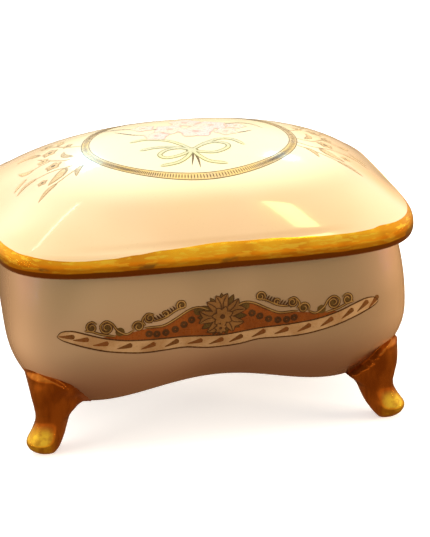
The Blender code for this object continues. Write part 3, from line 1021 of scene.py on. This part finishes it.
# %% scrolls
SCROLL_LINES = [
    mm((4.5, 9.5), (8, 10.8), (11.5, 10.1), (15.5, 7.9), (20, 5.7), (24, 5.5), (27, 5.6)),
    mm((30.6, 5.2), (33.2, 3.9), (36.2, 5.6), (37.8, 8.0), (40.0, 9.2), (42.4, 7.6)),
    mm((26.6, 6.4), (27.6, 8.2), (25.8, 10.4), (23.4, 9.8)),
    mm((12.2, 11.6), (15.6, 10.8), (19.5, 8.6), (23.6, 7.6)),
    mm((37.0, 3.6), (41.5, 4.6), (45.0, 6.0), (47.4, 6.4)),
]
# Place, radius, first angle in degrees and number of turns.
CURLS = [((13.8, 12.2), 1.8, -60, 1.35), ((25, 8.9), 1.7, 30, -1.3), ((29, 6.3), 2.1, -40, 1.35),
         ((39.8, 6.9), 2.3, 60, -1.45), ((44.9, 7.4), 2.1, 150, -1.4), ((19.4, 9.6), 1.2, 0, 1.1)]
GROUNDS = [((14, 12.1), 1.2), ((29, 6.3), 1.5), ((39.6, 6.6), 1.7), ((8.1, 9.6), 1.7),
           ((44.9, 7.4), 1.4), ((25, 8.9), 1.2), ((19.4, 9.6), 0.8), ((35.4, 5), 1.6)]
COMB_TEETH = 11
scroll_shadow, scroll_gold, comb, olives = bmesh.new(), bmesh.new(), bmesh.new(), bmesh.new()


def draw_scrolls():
    for line in SCROLL_LINES + [curl(*sizes) for sizes in CURLS]:
        for bm, width in ((scroll_shadow, 0.95), (scroll_gold, 0.38)):
            lay_stroke(bm, line, width, on_front, even, 4 * (len(line) - 1))
    for step in range(COMB_TEETH):
        root = Vector((14.4 + step * 0.98, 10.4 - step * 0.35)) / 1000
        lean = Vector((1.7 - 0.03 * step, 2.3 - 0.08 * step)) / 1000
        lay_stroke(comb, [root, root + lean * 0.6, root + lean], 0.62, on_front, leaf, 4)
    for spot, radius in GROUNDS:
        lay_disc(olives, spot, radius, on_front)


both_sides(draw_scrolls)
finish_front(olives, "scroll_grounds", olive_ink, 2)
finish_front(scroll_shadow, "scroll_outlines", umber_ink, 3)
finish_front(scroll_gold, "scroll_gold_lines", line_gold, 4)
finish_front(comb, "scroll_comb", umber_ink, 3)

# %% ribbon outlines
outline = bmesh.new()
for edge in (ribbon_top, ribbon_foot):
    lay_stroke(outline, edge, 0.5, on_front, even, 120)
finish_front(outline, "ribbon_outlines", umber_ink, 3)

# %% [markdown]
# A full flower with pointed leaves sits at the middle of the front and covers the join of the two
# halves. Every leaf is a swelling stroke with a slightly larger dark one under it and a fine vein
# over it. Olive leaves look out between them from below.

# %% flower of the front transfer
HEART = (0.2, 6.6)
flower_heart = Vector(HEART) / 1000
LEAF_TIPS = mm((-1.8, 13.9), (2.2, 14.3), (5.8, 12.2), (8.3, 8.3), (7.4, 3.9), (3.6, 0.9), (-0.8, 0.2),
               (-5.2, 1.5), (-7.8, 5), (-7.6, 9.2), (-5, 12))
leaf_shadow, leaf_fill, leaf_veins = bmesh.new(), bmesh.new(), bmesh.new()
under_edges, under_leaves = bmesh.new(), bmesh.new()
for index, tip in enumerate(LEAF_TIPS):
    reach = ((tip + LEAF_TIPS[index - 1]) / 2 - flower_heart) * 1.06
    for bm, length, width in ((under_edges, 1.06, 3.0), (under_leaves, 1, 2.1)):
        line = [flower_heart, flower_heart + reach * 0.6, flower_heart + reach * length]
        lay_stroke(bm, line, width, on_front, leaf, 8, 2)
finish_front(under_edges, "under_leaf_edges", umber_ink, 2)
finish_front(under_leaves, "under_leaves", olive_ink, 3)
for index, tip in enumerate(LEAF_TIPS):
    way = tip - flower_heart
    bend = Vector((-way.y, way.x)) * (0.10 if index % 2 else -0.10)
    line = [flower_heart + way * 0.15, flower_heart + way * 0.6 + bend, tip]
    longer = [line[0], line[1], tip + way * 0.05]
    lay_stroke(leaf_shadow, longer, 4.0, on_front, leaf, 10, 2)
    lay_stroke(leaf_fill, line, 3.1, on_front, leaf, 10, 2)
    lay_stroke(leaf_veins, line, 0.35, on_front, even, 6)
finish_front(leaf_shadow, "flower_leaf_edges", umber_ink, 4)
finish_front(leaf_fill, "flower_leaves", petal_ink, 5)
finish_front(leaf_veins, "flower_leaf_veins", umber_ink, 6)

rosette_shadow, rosette, rosette_heart = bmesh.new(), bmesh.new(), bmesh.new()
for centre, radius in ((HEART, 3.5), ((-0.6, 2.4), 2.0)):
    lay_flower(rosette_shadow, centre, radius + 0.35, 7, on_front, 0.3, 0.05, 0.78)
    lay_flower(rosette, centre, radius, 7, on_front, 0.3, 0.1, 0.58)
    lay_disc(rosette_heart, centre, radius * 0.26, on_front)
finish_front(rosette_shadow, "flower_petal_edges", umber_ink, 7)
finish_front(rosette, "flower_petals", petal_ink, 8)
finish_front(rosette_heart, "flower_hearts", umber_ink, 9)

# %% [markdown]
# On the crown lies an oval medallion: a gold band with a row of fine ticks round it, a ribbon bow
# with hanging tails, and a bunch of pale flowers behind the bow. The lid's inks are thin and pale,
# so the lustre shows through them.

# %% medallion band
def oval(half_width, half_depth, turn):
    x, y = ring_point(turn, half_width, half_depth, 2.0)
    return Vector((x, y)) / 1000


def lay_oval(bm, outer, inner, rows):
    """A band between two ovals."""
    lay_grid(bm, 180, rows, on_lid,
             lambda turn, across: oval(*inner, turn).lerp(oval(*outer, turn), across))


band = bmesh.new()
lay_oval(band, (39.6, 36.3), (36.8, 32.8), 4)
bmesh.ops.remove_doubles(band, verts=band.verts, dist=1e-6)
finish_lid(band, "medallion_band", band_gold, 1)

TICKS = 300
ticks = bmesh.new()
for index in range(TICKS):
    turn = index / TICKS
    line = [oval(39.2 - 1.9 * t, 35.7 - 2.2 * t, turn) for t in (0, 0.5, 1)]
    lay_stroke(ticks, line, 0.42, on_lid, even, 2)
for outer, inner in (((39.75, 36.45), (39.4, 36.1)), ((36.95, 32.95), (36.65, 32.65))):
    lay_oval(ticks, outer, inner, 1)
bmesh.ops.remove_doubles(ticks, verts=ticks.verts, dist=1e-6)
finish_lid(ticks, "medallion_ticks", lid_umber, 2)

# %% bow
BOW_LINES = [
    mm((-2, -17), (-5.5, -14.4), (-10.5, -14.6), (-13.9, -18.2), (-12.0, -21.2), (-7.0, -20.4), (-2, -17)),
    mm((-2, -17), (2.2, -12.8), (7, -10.7), (11.2, -12.8), (10.9, -16.6), (6, -19.9), (1.2, -19), (-2, -17)),
    mm((-22.3, -3), (-16.7, -2), (-9.5, -5.2), (-5, -11), (-2, -17)),
    mm((-20.1, -12.4), (-14, -11.6), (-7.5, -13.0), (-2, -17)),
    mm((17.6, -14.2), (14.2, -8.6), (9.5, -7.6), (3.4, -11.5), (-2, -17)),
    mm((-2, -17), (-4.6, -22.0), (-8.7, -25.4), (-14.9, -26.3)),
    mm((-2, -17), (-0.4, -21.8), (2.6, -26.2), (8.6, -28.2)),
]
BOW_STEMS = [
    mm((-2, -17), (-2.6, -22), (-4.1, -28.2)), mm((-2, -17), (-1.2, -24), (-1.4, -30.1)),
    mm((-31.2, 20.2), (-23.2, 17.1), (-14.7, 10.9)), mm((-12, 10.4), (-9.6, 9.0), (-7.6, 6.4)),
    mm((11.6, 10.1), (20.1, 13.0), (25.6, 11.5), (28.9, 5.6)),
    mm((-26, 14), (-20, 6), (-13, 3)), mm((24, 2), (18, -1), (13, 0)),
]
bow_shadow, bow, stems = bmesh.new(), bmesh.new(), bmesh.new()
for line in BOW_LINES:
    lay_stroke(bow_shadow, line, 1.9, on_lid, even)
    lay_stroke(bow, line, 1.15, on_lid, even)
for line in BOW_STEMS:
    lay_stroke(stems, line, 0.8, on_lid, leaf)
for bm, radius in ((bow_shadow, 2.3), (bow, 1.6)):
    lay_disc(bm, (-2, -17), radius, on_lid)
finish_lid(bow_shadow, "bow_edges", lid_olive, 2)
finish_lid(bow, "bow_ribbon", lid_green, 3)
finish_lid(stems, "bow_stems", lid_umber, 1)

# %% pale flowers behind the bow
# Place, radius and first angle in radians.
BUNCH = (((3, 3), 7, 0.2), ((-6, 8), 6, 0.9), ((10, 10), 6.2, 0.5), ((1, 16), 6, 1.3), ((-12, 1), 4.6, 0.1),
         ((14, 1), 4.4, 0.7), ((-15, 13), 4.2, 0.4), ((19, 8), 3.8, 1.1))
bunch_edges, bunch, bunch_hearts = bmesh.new(), bmesh.new(), bmesh.new()
for centre, radius, first in BUNCH:
    lay_flower(bunch_edges, centre, radius + 0.4, 5, on_lid, first, 0.05, 0.98)
    lay_flower(bunch, centre, radius, 5, on_lid, first, 0.08, 0.84)
    lay_disc(bunch_hearts, centre, radius * 0.2, on_lid)
finish_lid(bunch_edges, "bunch_petal_edges", lid_rose, 3)
finish_lid(bunch, "bunch_petals", lid_blossom, 4)
finish_lid(bunch_hearts, "bunch_hearts", lid_rose, 5)

# %% [markdown]
# A spray of gilt leaves and small flowers grows from each side of the medallion towards the lip.
# The right one is drawn and then mirrored.

# %% side sprays
SPRAY_STEMS = [
    mm((38.5, -3.4), (45, -3.6), (50.7, 3.2), (54.9, 11.7)),
    mm((38, -8), (44, -10.5), (51.5, -8), (57.5, -7.3)),
    mm((37.5, -12), (43.5, -15), (50, -19), (54, -22)), mm((38.5, 6), (43, 10), (47, 17), (50, 24)),
    mm((50.7, 3.2), (55, 3.5), (58, 3.2)),
]
# Width of a leaf, and the curve along it.
SPRAY_LEAVES = [
    (2.3, mm((56.5, -7.2), (60.8, -7.6), (64.8, -11.5))),
    (2.2, mm((50.5, -19.5), (54.5, -22), (58.3, -26.8))),
    (4.2, mm((46.5, -9.8), (49.5, -14.5), (54, -18.4))), (2.6, mm((57, 3), (60, 4), (62.4, 8.6))),
    (2.6, mm((53.5, 15), (57.1, 19.9), (62, 21.8))), (2.4, mm((40.5, -13), (42.8, -15.5), (44, -20))),
    (2.4, mm((47, 17), (45, 21), (47.5, 26.5))), (2.2, mm((43, -2), (46, 2.5), (45.5, 7))),
    (1.9, mm((60, -1.5), (63, -3.5), (65.3, -7))),
]
SPRAY_FLOWERS = (((50.5, -3.5), 3.3), ((50.2, 12.5), 3.2), ((53.4, 6.4), 2.3), ((43.6, 12.6), 2.2),
                 ((55.5, -13.8), 2), ((50.5, 23.2), 2.6))
spray_edges, spray, spray_hearts = bmesh.new(), bmesh.new(), bmesh.new()


def draw_spray():
    for line in SPRAY_STEMS:
        lay_stroke(spray_edges, line, 0.6, on_lid, even)
    for width, line in SPRAY_LEAVES:
        lay_stroke(spray_edges, line, width, on_lid, leaf, 10, 2)
        shorter = [line[0] + (line[1] - line[0]) * 0.25, line[1], line[2] + (line[1] - line[2]) * 0.12]
        lay_stroke(spray, shorter, width * 0.66, on_lid, leaf, 10, 2)
    for centre, radius in SPRAY_FLOWERS:
        lay_flower(spray_edges, centre, radius, 5, on_lid, 0.5, 0.05, 0.85)
        lay_flower(spray, centre, radius * 0.82, 5, on_lid, 0.5, 0.12, 0.7)
        lay_disc(spray_hearts, centre, radius * 0.24, on_lid)


both_sides(draw_spray)
finish_lid(spray_edges, "spray_edges", lid_bronze, 1)
finish_lid(spray, "spray_gilding", lid_gold, 2)
finish_lid(spray_hearts, "spray_hearts", lid_umber, 3)

# %% [markdown]
# The studio is a pale floor and a warm surrounding that is white above and behind the box, and tan
# in front of it, as a room would be. A large soft light hangs over and behind the box, so that the
# lid is bright and the front stands in gentle shade, and one at each side rounds the bowl. Glossy
# rays don't see those lights. What the lid mirrors instead is four small ones: a window, a slit of
# daylight and two patches of sky. The floor is hidden from reflections, so that it doesn't whiten
# the glaze from below.

# %% floor, surroundings and lights
floor_mesh = bmesh.new()
bmesh.ops.create_circle(floor_mesh, cap_ends=True, segments=64, radius=4.0)
floor_data = bpy.data.meshes.new("floor")
floor_mesh.to_mesh(floor_data)
floor_mesh.free()
paint = Finish("floor_paint", Roughness=0.9, Specular_IOR_Level=0.1, Emission_Color=(1, 1, 1, 1),
               Emission_Strength=0.45)
floor_data.materials.append(paint.set(
    Base_Color=paint.mix(paint.noise(3), (0.93, 0.92, 0.90), (0.90, 0.89, 0.87))))
floor = bpy.data.objects.new("floor", floor_data)
scene.collection.objects.link(floor)
floor.visible_glossy = floor.visible_diffuse = False

world = bpy.data.worlds.new("studio")
world.use_nodes = True
sky = Recipe(world.node_tree)
sight = sky.node("ShaderNodeTexCoord", output="Generated")
sideways, backward, upward = [sky.node("ShaderNodeSeparateXYZ", None, {"Vector": sight}, output=axis)
                              for axis in "XYZ"]
behind = sky.mix(sideways.ramp(0.10, 0.70), (0.80, 0.66, 0.48), (0.66, 0.40, 0.20))
horizon = sky.mix(backward.ramp(-0.25, 0.55), (0.62, 0.38, 0.19), behind)
above = sky.mix(backward.ramp(-0.60, 0.15), (0.58, 0.53, 0.48), (1.0, 0.98, 0.95))
air = sky.mix(upward.ramp(-0.02, 0.34), horizon, above)
shade = sky.mix(upward.ramp(-0.30, -0.02), (0.22, 0.115, 0.055), air)
sky.feed(world.node_tree.nodes["Background"].inputs["Color"], shade)
scene.world = world


def add_light(name, place, size, power, colour, aim=None, turn=0.0, mirrored=False):
    """A rectangular soft light. It faces aim, or straight down and turned by some degrees."""
    data = bpy.data.lights.new(name, "AREA")
    data.shape = "RECTANGLE"
    data.size, data.size_y = size
    data.energy = power
    data.color = colour
    light = bpy.data.objects.new(name, data)
    light.location = place
    light.rotation_euler = (0, 0, math.radians(turn))
    if aim:
        light.rotation_euler = (Vector(aim) - Vector(place)).to_track_quat("-Z", "Y").to_euler()
    light.visible_glossy = mirrored
    light.visible_camera = False
    scene.collection.objects.link(light)


DAYLIGHT = (0.30, 0.80, 1.0)
for name, place, size, power, colour, aim in (
        ("overhead", (-0.15, 0.34, 1.0), (1.1, 0.9), 7.4, (1.0, 0.96, 0.96), (0, 0, 0.08)),
        ("left", (-1.1, -0.20, 0.16), (0.8, 0.4), 21.5, (1.0, 0.94, 0.86), (0, 0, 0.05)),
        ("right", (1.0, -0.22, 0.14), (0.6, 0.35), 24.0, (1.0, 0.87, 0.70), (0, 0, 0.04)),
        ("front", (0.1, -1.3, 0.9), (1.4, 1.0), 0.3, (1.0, 0.95, 0.88), (0, -0.1, 0))):
    add_light(name, place, size, power, colour, aim)
add_light("sky_left", (-0.17, 1.32, 0.75), (0.14, 0.36), 1.2, DAYLIGHT, (-0.04, 0, 0.09), mirrored=True)
add_light("sky_right", (0.55, 1.12, 0.90), (0.14, 0.12), 0.4, DAYLIGHT, (0.03, 0, 0.09), mirrored=True)
add_light("window", (0.345, -0.16, 1.10), (0.10, 0.33), 0.85, (1.0, 0.86, 0.38), turn=8.7, mirrored=True)
add_light("window_slit", (-0.40, 0.53, 1.10), (0.32, 0.020), 0.22, (1.0, 0.93, 0.72), turn=49.6,
          mirrored=True)
print("studio ready")
